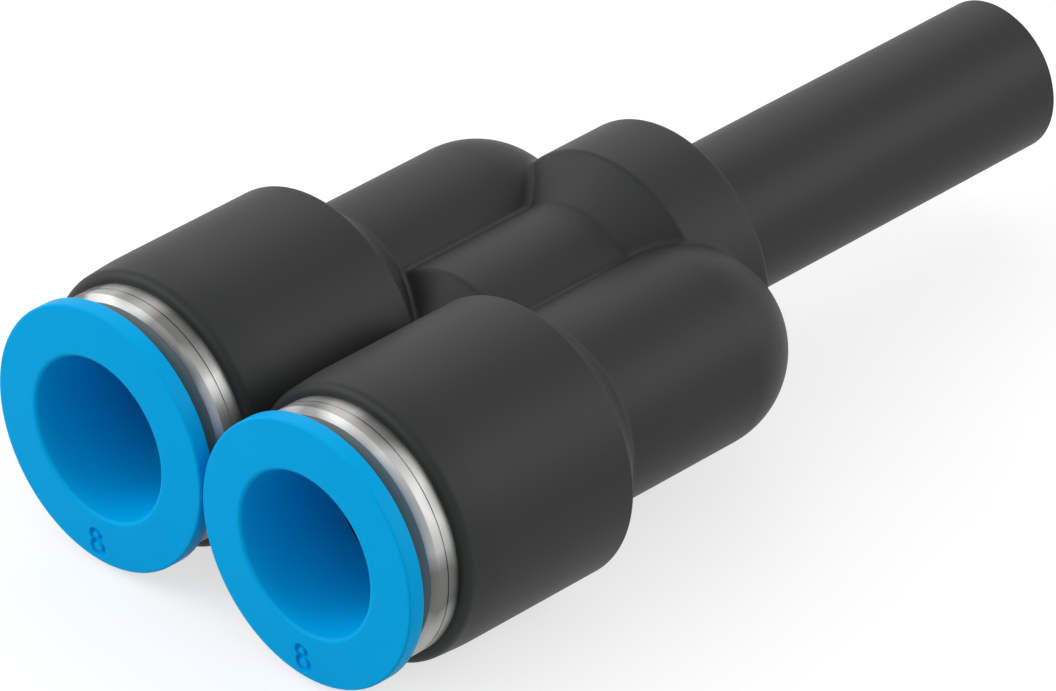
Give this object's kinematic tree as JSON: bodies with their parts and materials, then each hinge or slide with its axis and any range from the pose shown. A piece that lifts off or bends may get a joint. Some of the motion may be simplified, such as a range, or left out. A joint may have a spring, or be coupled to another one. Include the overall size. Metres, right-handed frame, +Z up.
{
  "type": "tubing y connector",
  "caption": "Push-in tubing Y connector: side-by-side tube sockets with release rings, joined through a hub to a plug-in stem.",
  "frame": {"origin": "under the middle of the box, on the surface that the fitting lies on", "axes": "+Y along the stem, away from the sockets; X across the sockets; +Z up from the surface"},
  "size_m": [0.0284, 0.0558, 0.0145],
  "materials": {
    "moulded_plastic": "satin moulded, dark grey",
    "release_plastic": "smooth moulded, blue",
    "nickel_plate": "turned and nickel plated",
    "spring_steel": "stamped strip",
    "guide_plastic": "moulded, black",
    "seal_rubber": "moulded, black"
  },
  "bodies": {
    "fitting": {"body": "moulded_plastic", "collar_left": "nickel_plate", "collar_right": "nickel_plate", "claw_left": "spring_steel", "claw_right": "spring_steel", "guide_ring_left": "guide_plastic", "guide_ring_right": "guide_plastic", "seal_left": "seal_rubber", "seal_right": "seal_rubber"},
    "release_left": {"release_ring_left": "release_plastic"},
    "release_right": {"release_ring_right": "release_plastic"}
  },
  "joints": [
    {"name": "release_left_press", "type": "slide", "parent": "fitting", "child": "release_left", "axis": [0, 1, 0], "range_m": [0, 0.001], "stiffness_N_per_m": 2000},
    {"name": "release_right_press", "type": "slide", "parent": "fitting", "child": "release_right", "axis": [0, 1, 0], "range_m": [0, 0.001], "stiffness_N_per_m": 2000}
  ]
}
